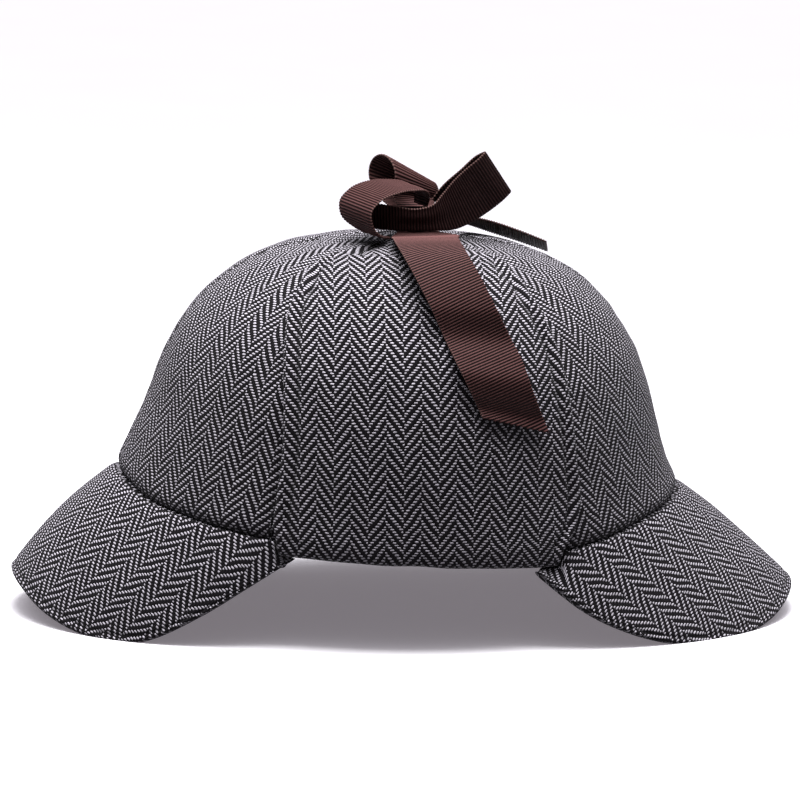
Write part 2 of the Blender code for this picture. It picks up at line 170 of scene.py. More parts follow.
# The other ribbons: the middle of each fold, where its width points, and how wide it lies there.
RIBBON_ROWS = {
    # x, y, z, aim, slope, width
    "bow_loop_left": (
        (3.5, -9.5, 148.95, -63, -6, 9),
        (3.8, -9.8, 152.2, -63, -6, 11),
        (1.5, -11.4, 155.3, -63, -6, 16),
        (-5.0, -14.5, 156.4, -63, -6, 20),
        (-11.5, -19.0, 156.0, -63, -6, 22),
        (-17.6, -23.0, 153.8, -63, -6, 22),
        (-21.3, -25.5, 149.6, -63, -6, 22),
        (-20.6, -25.2, 144.6, -63, -6, 22),
        (-16.8, -23.8, 140.8, -63, -6, 19),
        (-11.6, -21.0, 138.7, -63, -2, 12),
    ),
    "bow_loop_right": (
        (-16.4, -22.0, 146.5, 80, -72, 10.0),
        (-7.0, -22.5, 145.4, 80, -70, 9.4),
        (1.0, -22.6, 144.9, 80, -70, 8.5),
        (7.5, -21.6, 145.6, 62, -70, 10.2),
        (13.0, -18.3, 147.5, 48, -60, 15.6),
        (18.2, -15.4, 150.8, 46, -52, 19.5),
        (24.1, -12.6, 154.9, 45, -45, 22),
        (29.6, -11.0, 159.3, 45, -45, 22),
        (31.2, -9.4, 160.9, 45, -45, 22),
        (29.3, -8.4, 160.0, 45, -45, 22),
        (22.3, -8.8, 155.1, 44, -44, 20),
        (15.0, -8.8, 150.7, 42, -38, 16),
        (10.8, -8.4, 148.6, 42, -28, 11),
    ),
    "ribbon_tail_far": (
        (16.2, -3.4, 142.4, 60, -12, 12),
        (20.0, 5.0, 141.8, 75, -14, 18),
        (33.2, 19.0, 137.6, 83, -17, 22),
        (43.0, 20.5, 134.3, 82, -17, 22),
        (53.6, 22.0, 130.3, 81, -16, 22),
    ),
}
# The back loop stands over the knot like a slack roll.
LOOP_BACK_ENDS = (
    # x, y, z, half_depth, half_height, root_x, root_y, root_z
    (-9.6, 5.0, 158.4, 9.5, 7.2, -4.0, -3.0, 147.2),
    (9.9, 9.0, 151.8, 3.4, 3.0, 8.0, -3.0, 147.2),
)
LOOP_BACK_OPEN = 100.0  # degrees of the roll left open underneath, where its layers run to the knot
LOOP_BACK_TURN = 26.0  # degrees that its ends are turned from the hat's cross plane
LOOP_BACK_ROOT = (1.2, 2.2)  # how much further back and lower its second layer meets the knot
LOOP_BACK_POINTS = 13  # round the roll
# The knot: its middle, its half sizes, and how its section swells along it.
KNOT_MIDDLE = (2.0, -11.5, 144.0)
KNOT_HALF = (10.0, 9.0, 4.1)
KNOT_ROWS = (
    # along, size
    (-1.0, 0.45),
    (-0.8, 0.80),
    (-0.4, 1.00),
    (0.4, 1.00),
    (0.8, 0.80),
    (1.0, 0.45),
)
KNOT_TURN = (-0.25, 0.747)  # of a whole turn: where the ribbon wound round it starts and ends
# The creases that run round it, each on a line that wanders along it.
KNOT_CREASES = (
    # along, wander, phase, depth, width
    (-5.6, 0.9, 0.3, 0.75, 0.8),
    (-1.9, 1.3, 1.9, 0.95, 0.9),
    (2.6, 0.8, 3.4, 0.70, 0.7),
    (6.0, 1.1, 5.0, 0.85, 0.9),
)
HALVINGS = 24  # in the search for the crown's height
SLOPE_STEP = 1e-3  # of turn and way, for the crown's normals

# ---- the weave
WARP_PITCH = 0.765  # between two warp threads
WEFT_PITCH = 0.955  # between two weft threads
STRIPE_ENDS = 8.0  # warp threads in one stripe of the herringbone
WEAVE_ROWS = 4.0  # weft threads after which the weave repeats
BROKEN_ROWS = 2.0  # weft threads that the diagonal skips where it turns back
FLOAT_WIDTH = 0.69  # how much of its row a weft thread fills
INNER_SHIFT = 2 * WARP_PITCH  # of the weave on a wall's inner face against its outer one
# Where a piece's flat pattern starts on the striped cloth, if not at a stripe's edge.
PATTERN_STARTS = {
    "crown_side_far": (3.0, 1.0),
    "crown_back_far": (1.0, 2.0),
    "crown_side_near": (2.0, 0.5),
    "ear_flap_far": (2.0, 1.0),
}

# ---- the tweed pieces' own sizes
CLOTH_STEP = 1.25  # between their grid lines
EDGE_STEP = 0.45  # between those near an edge,
SEAM_TURNED_IN = 3.0  # this far in from a panel's seams
HEM_TURNED_IN = 6.0  # and from the edges of a brim or flap
EDGE_ANGLES = (0, 24, 46, 68)  # degrees round an edge at which grid lines lie
EDGE_CLOSED = 0.98  # at its edges a wall keeps sqrt(1 - this) of its thickness
# The grids' width, length and edge radius; the flaps' length comes from their table.
PANEL_GRID = (98.0, 132.0, 1.0)
BRIM_GRID = (240.0, 66.0, 1.5)
FLAP_GRID = (104.0, 1.3)
FLAP_LEVEL = 20  # the flap's grid line along which its weave lies level
BRIM_TUCK = 1.5  # how far a brim reaches inside the crown's wall
# The crown's seams: a groove along each, with puckers beside it.
SEAM_GROOVE = (0.75, 2.6)  # depth, and how far to each side it reaches
SEAM_DIP = (1.0, 1.9)  # the same, where crown and brim are drawn in along their seam
SEAM_FLAT = 1.2  # nearer to the seam than this the relief fades,
SEAM_KEEPS = 0.25  # to this share of it
PUCKER = 0.22  # height
PUCKER_REACH = 5.0
PUCKER_WAVE = 1.9  # a pucker's length, over two pi
PUCKER_WANDER = 2.0  # radians that a pucker lies off its place
PUCKER_DRIFT = 9.0  # length, over two pi, in which that changes
PUCKER_GROWS = 12.0  # from the crown's edge upwards
INNER_FOLLOWS = 0.6  # share of the outer face's relief on the inner one
# Hems: a soft roll and beside it a groove, which is steeper on its inner side.
FLAP_HEM = 5.8  # width of the cloth turned in along a flap's edge
BRIM_HEM = 3.6
HEM_ROLL = (0.35, 1.5)  # height and reach
HEM_ROLL_AT = 0.35  # share of the hem's width at which it stands highest
HEM_GROOVE = 0.9  # depth
HEM_GROOVE_REACH = (2.2, 0.6)  # towards the edge and away from it
BRIM_HEM_SHOWS = 0.35  # share of a flap's relief that a stiff brim's hem has
BRIM_HEM_FROM = 2.0  # from the crown
FLAP_HEM_FROM = 6.0  # from its fold
HEM_GROWS = 6.0  # length in which a hem comes to its full height
TIP_HEM = 0.3  # share of it along a flap's tip
TIP_HEM_GROWS = 5.0
# Painted shade along the seams and in the hem grooves: how strong, and how far to each side it reaches.
SEAM_PAINTED_SHADE = (1.0, 1.3)
FLAP_PAINTED_SHADE = (1.0, 0.75)
BRIM_PAINTED_SHADE = (0.5, 0.75)
# Slight unevenness of the cloth: waves of these lengths, and how high they are together.
RIPPLE_WAVES = 5
RIPPLE_LENGTHS = (18, 45)
PANEL_RIPPLE = 0.22
EDGED_RIPPLE = 0.2  # of a brim or flap
RIPPLE_GROWS = 10.0  # from a flap's edge inwards
BRIM_SEED = 20
FLAP_SEED = 30

# ---- the ribbons' own sizes
RIB_PITCH = 1.08  # between two ribs
RIB_STEPS = 8  # grid lines to a rib
RIB_HEIGHT = 0.32
RIB_POWER = 1.2  # of the sine that a rib's height follows
RIB_GROWS = 4.0  # length in which pressed ribs come to their full height
RIB_PRESSED = 0.12  # share of it left where they are pressed flat
RIBBON_STEP = 1.7  # between the grid lines that run along a ribbon
RIBBON_EDGE = 0.42  # radius of its edges
PLEAT_WAVES = 3.5  # half waves across a ribbon's width
PLEAT_PHASE = 0.6
LOOSE_PLEATS = 0.4  # their height where the whole width is missing
TAIL_PLEATS = 0.5
TAIL_LEANS = (21.0, 37.0)  # degrees between the near tail's rows and its ribs, at its start and end
TAIL_STEP = 0.6
TAIL_PLAIN = 17.0  # on this stretch from the knot its ribs lie pressed flat
KNOT_STEP = 0.8
KNOT_RIBS = 40
KNOT_RIB_HEIGHT = 0.18
THREAD_PITCH = 0.33  # between two warp threads, coarse enough to show
SELVEDGE = 0.3  # width of its woven edge
# The ribbon's colour in three copies with painted light and shade on its ribs, given as the crests' and the
# grooves' tones: one for its flat lengths, a darker one with less contrast for the left and back loops, and
# a darker one still for the right loop, the far tail and the knot.
GROSGRAINS = (
    # name, crest, groove
    ("brown_grosgrain_ribbon", 1.95, 0.02),
    ("brown_grosgrain_painted_half_shade", 1.45, 0.2),
    ("brown_grosgrain_painted_shade", 0.6, 0.15),
)

# The sums that draw each weave.
TWEED_SUMS = (
    # result, start, steps
    # the place on the cloth, out of true by up to 0.7 mm
    ("across_drift", "drift_across", ("MULTIPLY_ADD", 1.1, -0.55)),
    ("across", "across_flat", ("ADD", "across_drift")),
    ("along_drift", "drift_along", ("MULTIPLY_ADD", 1.4, -0.7)),
    ("along", "along_flat", ("ADD", "along_drift")),
    # counted in warp threads, there and back in each pair of stripes
    ("threads", "across", ("DIVIDE", WARP_PITCH)),
    ("end", "threads", ("PINGPONG", STRIPE_ENDS)),
    ("stripe", "threads", ("DIVIDE", STRIPE_ENDS), ("FLOOR",)),
    ("break", "stripe", ("FLOORED_MODULO", 2.0), ("MULTIPLY", BROKEN_ROWS)),
    # counted in rows of weft, and where in the repeat the row's float lies
    ("rows", "along", ("DIVIDE", WEFT_PITCH)),
    ("row", "rows", ("FLOOR",)),
    ("row_part", "rows", ("FRACT",)),
    ("float_at", "row", ("ADD", "end"), ("ADD", "break"), ("FLOORED_MODULO", WEAVE_ROWS)),
    # the float: a rounded thread, squarer along than across
    ("float_length", "float_at", ("MULTIPLY_ADD", 1.06, -1.06), ("ABSOLUTE",), ("POWER", 3.0)),
    ("float_width", "row_part", ("MULTIPLY_ADD", 2 / FLOAT_WIDTH, -1 / FLOAT_WIDTH)),
    ("float_width", "float_width", ("MULTIPLY", "float_width")),
    ("float_uneven", "uneven", ("MULTIPLY_ADD", 0.9, -0.45)),
    ("float_round", "float_length", ("ADD", "float_width"), ("ADD", "float_uneven")),
    ("weft_rise", 1.0, ("SUBTRACT", "float_round"), ("MAXIMUM", 0.0), ("POWER", 0.5)),
    # the dark warp threads, arched between the floats
    ("warp_at", "end", ("FLOOR",), ("ADD", "rows"), ("ADD", "break")),
    ("warp_at", "warp_at", ("FLOORED_MODULO", WEAVE_ROWS), ("SUBTRACT", 3.0), ("MULTIPLY", "warp_at")),
    ("warp_arch", 1.0, ("SUBTRACT", "warp_at"), ("MAXIMUM", 0.0)),
    ("end_part", "end", ("FRACT",), ("MULTIPLY_ADD", 2.0, -1.0), ("MULTIPLY", "end_part")),
    ("warp_rise", 1.0, ("SUBTRACT", "end_part"), ("MULTIPLY", "warp_arch"), ("MULTIPLY", 0.6)),
    # the relief, and how light the dark and the light threads are; the warp is painted darker where it lies
    # low between the floats
    ("fuzz_rise", "fuzz", ("MULTIPLY", 0.28)),
    ("relief", "warp_rise", ("MAXIMUM", "weft_rise"), ("ADD", "fuzz_rise")),
    ("fuzz_lit", "fuzz", ("MULTIPLY_ADD", 0.5, 0.75)),
    # painted shade along seams and in hem grooves darkens both kinds of thread
    ("seam_shade_factor", "painted_seam_shade", ("MULTIPLY_ADD", -0.62, 1.0)),
    # painted shade: the warp is darker where it lies low
    ("shade", "warp_rise", ("MULTIPLY_ADD", 1.3, 0.35), ("MULTIPLY", "seam_shade_factor")),
    ("lit", "uneven", ("MULTIPLY_ADD", 1.3, 0.32), ("MULTIPLY", "fuzz_lit"), ("MULTIPLY", "seam_shade_factor")),
)
GROSGRAIN_SUMS = (
    # result, start, steps
    ("rib", "along", ("DIVIDE", RIB_PITCH), ("MULTIPLY", np.pi), ("SINE",), ("ABSOLUTE",)),
    ("streak", "streaks", ("MULTIPLY_ADD", 0.7, 0.65)),
    # painted light and shade on the ribs: the crests lighter, the grooves darker
    ("tone", "rib", ("POWER", 4.5), ("MULTIPLY_ADD", "crest", "groove"), ("MULTIPLY", "streak")),
    ("from_middle", "across", ("SUBTRACT", RIBBON_WIDTH / 2), ("ABSOLUTE",)),
    ("selvedge", "from_middle", ("GREATER_THAN", RIBBON_WIDTH / 2 - SELVEDGE)),
    ("dot", "selvedge", ("MULTIPLY", "rib"), ("MULTIPLY", 0.3)),
    ("thread", "across", ("MULTIPLY", 2 * np.pi / THREAD_PITCH), ("SINE",), ("MULTIPLY_ADD", 0.5, "streaks")),
)


# ---- curves and surfaces
def smooth(at, knots, values):
    """A smooth curve through a table's rows: a cubic piece between rows, its slopes the rows' own means."""
    knots = np.asarray(knots, float)
    values = np.asarray(values, float)
    slopes = np.gradient(values, knots, axis=0)
    row = np.clip(np.searchsorted(knots, at) - 1, 0, len(knots) - 2)
    span = knots[row + 1] - knots[row]
    part = (at - knots[row]) / span
    if values.ndim > 1:
        lead = (...,) + (None,) * (values.ndim - 1)
        span, part = span[lead], part[lead]
    rise = values[row + 1] - values[row]
    start = slopes[row] * span
    end = slopes[row + 1] * span
    bend = 3 * rise - 2 * start - end + part * (start + end - 2 * rise)
    return values[row] + part * (start + part * bend)


def mirrored(rows, column, about, sign=1.0):
    """A table's knots and one column, carried on past both ends so that the curve leaves them level."""
    knots = np.array([row[0] for row in rows], float)
    values = np.array([row[column] for row in rows], float)
    if "start" in about:
        knots = np.concatenate([[2 * knots[0] - knots[1]], knots])
        values = np.concatenate([[values[1]], values])
    if "end" in about:
        knots = np.concatenate([knots, [2 * knots[-1] - knots[-2]]])
        values = np.concatenate([values, [sign * values[-2]]])
    return knots, values


def rim_height(turn):
    """Height of the crown's lower edge at an angle round the head, the same on both sides."""
    degrees = np.degrees(np.arccos(np.clip(np.cos(turn), -1, 1)))
    return smooth(degrees, *mirrored(RIM_ROWS, 1, ("start", "end")))


def crown_shares(way):
    """The shares of the rim's half length, front and back, and half width that are left this way up."""
    return (smooth(way, *mirrored(CROWN_ROWS, column, ("end",), -1.0)) for column in (2, 3, 4))


def crown_point(turn, way):
    """Outer face of the crown at an angle round the head and a share of the way from rim to top."""
    level = smooth(way, *mirrored(CROWN_ROWS, 1, ("end",)))
    front, back, side = crown_shares(way)
    along = np.where(np.cos(turn) > 0, front, back)
    rim = rim_height(turn)
    x = MIDDLE_SHIFT + RIM_HALF_LENGTH * along * np.cos(turn)
    y = RIM_HALF_WIDTH * side * np.sin(turn)
    return np.stack(np.broadcast_arrays(x, y, rim + (CROWN_TOP - rim) * level), -1)


def bell(distance, height, reach):
    """A bell curve: height x exp(-(distance / reach)^2)."""
    return height * np.exp(-((distance / reach) ** 2))


def unit(vectors):
    """Vectors scaled to length one."""
    return vectors / np.linalg.norm(vectors, axis=-1, keepdims=True)


def crown_off(turn, way, off):
    """A point that lies off the crown's outer face, along its normal; inside where off is negative."""
    turn, way, off = np.broadcast_arrays(turn, way, off)
    across = crown_point(turn + SLOPE_STEP, way) - crown_point(turn - SLOPE_STEP, way)
    up = crown_point(turn, way + SLOPE_STEP) - crown_point(turn, way - SLOPE_STEP)
    return crown_point(turn, way) + unit(np.cross(across, up)) * off[..., None]


def turn_at(x, way, side):
    """The angle round the head at which the crown has this x, on the near side, -1, or the far side, 1."""
    front, back, _ = crown_shares(way)
    along = np.where(x > 0, front, back)
    return side * np.arccos(np.clip(x / (RIM_HALF_LENGTH * along), -1, 1))


def crown_height(x, y):
    """Height of the crown's outer face above a point in plan, found by halving the way up the cloth."""
    low = np.zeros_like(x)
    high = np.ones_like(x)
    for _ in range(HALVINGS):
        way = (low + high) / 2
        front, back, side = crown_shares(way)
        along = RIM_HALF_LENGTH * np.where(x > MIDDLE_SHIFT, front, back)
        inside = ((x - MIDDLE_SHIFT) / along) ** 2 + (y / (RIM_HALF_WIDTH * side)) ** 2 < 1
        low = np.where(inside, way, low)
        high = np.where(inside, high, way)
    return crown_point(np.arctan2(y * along, (x - MIDDLE_SHIFT) * RIM_HALF_WIDTH * side), low)[..., 2]


def grid_normals(points):
    """Normals of a surface given as a grid of points, from the differences between neighbours."""
    return unit(np.cross(np.gradient(points, axis=0), np.gradient(points, axis=1)))


def run_along(points, axis):
    """How far each point of a grid lies along its grid line, counted from the line's first point."""
    steps = np.linalg.norm(np.diff(points, axis=axis), axis=-1)
    return np.concatenate([np.zeros_like(np.take(steps, [0], axis)), np.cumsum(steps, axis)], axis)


def edged(length, step, radius, turned_in=0.0):
    """Places from edge to edge of a cloth of this length, and how far along the cloth each lies.

    Between its edges the two are alike.  Round each edge the cloth turns through a quarter circle: the
    place is radius x (1 - cos angle) from the edge, and the cloth goes on for radius x angle.  The places
    stand closer together as far in as the cloth is turned in.
    """
    angle = np.radians(EDGE_ANGLES)
    near_edge = np.arange(radius, turned_in, EDGE_STEP)
    first = max(radius, turned_in)
    inside = np.linspace(first, length / 2, max(3, round((length / 2 - first) / step) + 1))
    half_place = np.concatenate([radius * (1 - np.cos(angle)), near_edge, inside])
    half_cloth = np.concatenate([radius * (angle - np.pi / 2 + 1), near_edge, inside])
    return tuple(np.concatenate([half, length - half[-2::-1]]) for half in (half_place, half_cloth))


def roundness(place, length, radius):
    """Share of the cloth's thickness left near its edges: a quarter circle, not quite closed at the edge."""
    inward = np.clip(np.minimum(place, length - place) / radius, 0, 1)
    return np.sqrt(1 - EDGE_CLOSED * (1 - inward) ** 2)


def ripple(across, along, seed, size):
    """Slight unevenness of worn cloth: a few sine waves of random heading, length and phase, added up."""
    chance = np.random.default_rng(seed)
    heading = chance.uniform(0, np.pi, RIPPLE_WAVES)
    wave = 2 * np.pi / chance.uniform(*RIPPLE_LENGTHS, RIPPLE_WAVES)
    phase = chance.uniform(0, 2 * np.pi, RIPPLE_WAVES)
    run = across[..., None] * np.cos(heading) + along[..., None] * np.sin(heading)
    return size * np.sin(wave * run + phase).sum(-1) / (RIPPLE_WAVES / 2)


# ---- pieces
def add_object(name, data):
    """Adds an object with this data to the scene."""
    thing = bpy.data.objects.new(name, data)
    bpy.context.collection.objects.link(thing)
    return thing


def add_cloth(name, faces, pattern, material, rests_on, inner_shift=0.0, painted_seam_shade=0.0):
    """A closed cloth wall between two grids of points, with its flat pattern as its UV map.

    The pattern is how far across and along the flat cloth each point of the outer face lies; on the inner
    face it is shifted across.  How much painted shade the cloth gets along its seams and in its hem grooves,
    from 0 to 1, is kept as an attribute.
    """
    rows, columns = faces[0].shape[:2]
    count = rows * columns
    index = np.arange(count).reshape(rows, columns)
    quads = np.stack([index[:-1, :-1], index[1:, :-1], index[1:, 1:], index[:-1, 1:]], -1).reshape(-1, 4)
    border = np.concatenate([index[:-1, 0], index[-1, :-1], index[:0:-1, -1], index[0, :0:-1]])
    following = np.roll(border, -1)
    sides = np.stack([following, border, border + count, following + count], -1)
    points = np.concatenate([face.reshape(-1, 3) for face in faces]) * MM
    polygons = np.concatenate([quads, quads[:, ::-1] + count, sides])
    corners = points[polygons]
    halves = (np.cross(corners[:, k], corners[:, k + 1]) for k in (1, 2))
    if sum(np.einsum("ij,ij->", corners[:, 0], half) for half in halves) < 0:
        polygons = polygons[:, ::-1]
    mesh = bpy.data.meshes.new(name)
    mesh.from_pydata(points.tolist(), [], polygons.tolist())
    mesh.shade_smooth()
    flat = pattern.reshape(-1, 2)
    flat = np.concatenate([flat, flat + (inner_shift, 0.0)])
    mesh.uv_layers.new(name="pattern").data.foreach_set("uv", flat[polygons].ravel().astype(np.float32))
    # the painted shade along seams and in hem grooves, the same on both faces
    both_faces = np.tile(np.broadcast_to(painted_seam_shade, (rows, columns)).ravel(), 2)
    mesh.attributes.new("painted_seam_shade", "FLOAT", "POINT").data.foreach_set("value", both_faces.astype(np.float32))
    mesh.materials.append(material)
    piece = add_object(name + "_cloth", mesh)
    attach(piece, "root")
    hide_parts(name)
    rests_on = [other + "_cloth" for other in rests_on]


def add_tweed(name, faces, across, along, material, rests_on, painted_seam_shade):
    """A piece of tweed, its flat pattern moved to where it is cut from the striped cloth."""
    start = PATTERN_STARTS.get(name, (0.0, 0.0))
    pattern = np.stack([across + start[0], along + start[1]], -1)
    add_cloth(name, faces, pattern, material, rests_on, INNER_SHIFT, painted_seam_shade)


def rounded(outer, inner, across, along):
    """The two faces of a wall drawn together to the shares of its thickness left across and along it."""
    middle = (outer + inner) / 2
    half = (outer - inner) / 2 * (across[:, None] * along[None, :])[..., None]
    return middle + half, middle - half


def hemmed(from_edge, width):
    """Height of a turned-in edge: a soft roll along it, which sinks to a groove where it is sewn down."""
    reach = np.where(from_edge < width, *HEM_GROOVE_REACH)
    return bell(from_edge - width * HEM_ROLL_AT, *HEM_ROLL) - bell(from_edge - width, HEM_GROOVE, reach)


def crown_panel(name, number, material):
    """A gore of the crown: a slice of the dome, its two seams turned in, its stripes along its middle.

    The cloth dips towards each seam in a bell curve, and puckers there a little.  It is drawn in along its
    lower edge too, where the brims are sewn on.
    """
    width, height, radius = PANEL_GRID
    span = 2 * np.pi / PANELS
    place, cloth = edged(width, CLOTH_STEP, radius, SEAM_TURNED_IN)
    rise, rise_cloth = edged(height, CLOTH_STEP, radius)
    turn = (number + place[:, None] / width) * span
    way = PANEL_END * rise[None, :] / height
    face = crown_off(turn, way, 0.0)
    run = run_along(face, 0)
    middle = np.array([np.interp(width / 2, place, run[:, k]) for k in range(run.shape[1])])
    across = (cloth[:, None] - place[:, None]) * middle * 2 / width + run - middle
    spine = crown_point((number + 0.5) * span, way[0])
    along = np.broadcast_to(run_along(spine, 0) + rise_cloth - rise, across.shape)
    seam = np.minimum(run, run[-1] - run)
    wave = np.sin(along / PUCKER_WAVE + PUCKER_WANDER * np.sin(along / PUCKER_DRIFT + number))
    pucker = PUCKER * np.exp(-seam / PUCKER_REACH) * wave
    uneven = ripple(across, along, number, PANEL_RIPPLE)
    shift = -bell(seam, *SEAM_GROOVE) + pucker * np.clip(along / PUCKER_GROWS, 0, 1) + uneven
    shift *= np.clip(seam / SEAM_FLAT, SEAM_KEEPS, 1)
    shift -= bell(along, *SEAM_DIP)
    outer = crown_off(turn, way, shift)
    inner = crown_off(turn, way, shift * INNER_FOLLOWS - CROWN_WALL)
    for border, sign in ((0, 1), (-1, -1)):
        angle = turn[border, 0]
        aside = np.array([-np.sin(angle), np.cos(angle), 0.0]) * sign * GAP / 2
        outer[border] += aside
        inner[border] += aside
    faces = rounded(outer, inner, roundness(place, width, radius), roundness(rise, height, radius))
    # painted shade along the seams and along the lower edge, where the brims are sewn on
    painted_seam_shade = np.maximum(bell(seam, *SEAM_PAINTED_SHADE), bell(along, *SEAM_PAINTED_SHADE))
    panels = [f"crown_{part}_{side}" for part in ("front", "side", "back") for side in SIDES.values()]
    rests_on = [panel for panel in panels if panel != name]
    add_tweed(name, faces, across, along, material, rests_on, painted_seam_shade)


def brim_edge(side, end_x, reach, half_width, turn):
    """Outer edge of a brim: half an oval in plan, at the heights of its table."""
    knots, heights = mirrored(BRIM_EDGE_ROWS, 1 if side < 0 else 2, ("start",))
    x = MIDDLE_SHIFT + side * (end_x + reach * np.cos(turn))
    y = half_width * np.sin(turn)
    z = smooth(np.degrees(np.abs(turn)), knots, heights)
    return np.stack([x, y, z], -1)


def brim(name, material):
    """A brim: straight lines from the seam under the crown's edge out to its own edge, slightly swelled.

    Its stripes run out along its middle line.  A point's place along the cloth is how far it lies out
    along that line, and its place across is how far round the brim it lies, square to the line.  Its ends
    go under the folds of the ear flaps, where its seam lies lower.
    """
    side, end_x, reach, half_width, tuck_turn, seam_end, swell_height = BRIMS[name]
    width, depth, radius = BRIM_GRID
    place, cloth = edged(width, CLOTH_STEP, radius, HEM_TURNED_IN)
    out, out_cloth = edged(depth, CLOTH_STEP, radius, HEM_TURNED_IN)
    share = 2 * place / width - 1
    middle = 0.0 if side > 0 else np.pi
    seam_turn = middle + side * np.radians(seam_end) * share
    edge = brim_edge(side, end_x, reach, half_width, np.pi / 2 * share)
    drop = np.array([0, 0, GAP])
    ledge = crown_off(seam_turn, 0.0, -CROWN_WALL - BRIM_TUCK) - drop
    seam = crown_off(seam_turn, 0.0, GAP) - drop
    tucked = np.linalg.norm(seam - ledge, axis=-1).mean()
    reach_out = np.clip(out - tucked, 0, None) / (depth - tucked)
    tuck = np.clip(out / tucked, 0, 1)[None, :, None]
    top = ledge[:, None] * (1 - tuck) + seam[:, None] * tuck
    top = top * (1 - reach_out)[None, :, None] + edge[:, None] * reach_out[None, :, None]
    centre = len(share) // 2
    line = unit(edge[centre] - seam[centre])
    along = (top - seam[centre]) @ line + (out_cloth - out)
    flat = top - along[..., None] * line
    across = run_along(flat, 0)
    across = across - across[centre] + (cloth - place)[:, None]
    normal = grid_normals(top)
    normal *= np.sign(normal[..., 2:].mean())
    swell = swell_height * np.sin(np.pi * reach_out) * np.cos(share[:, None] * np.pi / 2)
    from_edge = np.minimum((depth - out)[None, :], (width / 2 * (1 - np.abs(share)))[:, None])
    hem_grown = np.clip((out - tucked - BRIM_HEM_FROM) / HEM_GROWS, 0, 1)
    swell = swell + BRIM_HEM_SHOWS * hemmed(from_edge, BRIM_HEM) * hem_grown
    swell = swell + ripple(across, along, BRIM_SEED + side, EDGED_RIPPLE) * np.sin(np.pi * reach_out)
    swell = swell - bell(out - tucked, *SEAM_DIP)
    top = top + normal * swell[..., None]
    tucked_in = np.clip((seam_end * np.abs(share) - tuck_turn) / TUCK_SPAN, 0, 1)
    top[..., 2] -= TUCK_DROP * tucked_in[:, None] * (1 - reach_out)
    under = top - normal * BRIM_WALL
    thickness = roundness(out, depth, radius)
    thickness[: len(out) // 3] = 1.0  # next to the crown it keeps all of it
    faces = rounded(top, under, roundness(place, width, radius), thickness)
    for face in faces:
        face[..., 2] = np.maximum(face[..., 2], 0.0)
    # painted shade in the hem groove and along the seam to the crown
    painted_seam_shade = np.maximum(bell(from_edge - BRIM_HEM, *BRIM_PAINTED_SHADE), bell(out - tucked, *SEAM_PAINTED_SHADE))
    rests_on = ["crown_front_near" if side > 0 else "crown_back_near"]
    add_tweed(name, faces, across, along, material, rests_on, painted_seam_shade)


def ear_flap(name, side, material):
    """An ear flap: cloth folded under the crown's edge and turned up flat over the side of the crown.

    Inside its edges the turned-in cloth stands up in a roll, with a groove inside it that is weaker along
    the tip.
    """
    width, radius = FLAP_GRID
    knots = [row[0] for row in FLAP_ROWS]
    first = np.concatenate([[FLAP_FIRST_WAY], np.linspace(knots[1], knots[-1], FLAP_LINES)])
    back, front, stand_off = (smooth(first, knots, [row[k] for row in FLAP_ROWS]) for k in (1, 2, 3))
    place, cloth = edged(width, CLOTH_STEP, radius, HEM_TURNED_IN)
    share = place[:, None] / width
    x = back + (front - back) * share
    first -= FLAP_SHORT[side] * np.clip((first - FLAP_MIDDLE) / (first[-1] - FLAP_MIDDLE), 0, 1)
    turn = turn_at(x, first, side)
    off = FLAP_CLEAR + stand_off * np.sin(np.pi * share)
    inner = crown_off(turn, first, off)
    outer = crown_off(turn, first, off + FLAP_WALL)
    fold_x = FLAP_ROWS[0][1] + (FLAP_ROWS[0][2] - FLAP_ROWS[0][1]) * share[:, 0]
    fold_turn = turn_at(fold_x, 0.0, side)
    folds = np.array(FLAP_FOLD_ROWS)
    upward = np.array([0.0, 0.0, 1.0])
    sag = FOLD_SAG * np.abs(2 * share - 1) ** FOLD_SAG_POWER
    inner_fold = [crown_off(fold_turn, 0.0, row[1]) - upward * row[0] for row in folds]
    outer_fold = [crown_off(fold_turn, 0.0, row[3]) - upward * (row[2] + sag) for row in folds]
    inner = np.concatenate([np.stack(inner_fold, 1), inner], 1)
    outer = np.concatenate([np.stack(outer_fold, 1), outer], 1)
    lines = run_along(outer[len(share) // 2], 0)
    rise, rise_cloth = edged(lines[-1], CLOTH_STEP, radius, HEM_TURNED_IN)
    inner, outer = (smooth(rise, lines, face.swapaxes(0, 1)).swapaxes(0, 1) for face in (inner, outer))
    run = run_along(outer, 0)
    middle = np.array([np.interp(MIDDLE_SHIFT, outer[:, k, 0], run[:, k]) for k in range(run.shape[1])])
    across = run - middle + (cloth - place)[:, None]
    up = run_along(outer, 1)
    level = outer[:, FLAP_LEVEL, 2] - up[:, FLAP_LEVEL]
    along = up + (level - level[len(share) // 2])[:, None] + rise_cloth - rise
    beside = np.minimum(run, run[-1] - run)
    below = up[:, -1:] - up
    edge = np.minimum(beside, below)
    at_side = np.clip((below - beside) / TIP_HEM_GROWS, 0, 1)
    sewn = np.clip((up - FLAP_HEM_FROM) / HEM_GROWS, 0, 1) * (TIP_HEM + (1 - TIP_HEM) * at_side)
    shift = hemmed(edge, FLAP_HEM) * sewn
    uneven = ripple(across, along, FLAP_SEED + side, EDGED_RIPPLE)
    shift = shift + uneven * np.clip(edge / RIPPLE_GROWS, 0, 1)
    normal = unit(outer - inner)
    outer = outer + normal * shift[..., None]
    faces = rounded(outer, inner, roundness(place, width, radius), roundness(rise, lines[-1], radius))
    # painted shade in the hem groove
    painted_seam_shade = sewn * bell(edge - FLAP_HEM, *FLAP_PAINTED_SHADE)
    add_tweed(name, faces, across, along, material, ["crown_side_" + SIDES[side]], painted_seam_shade)


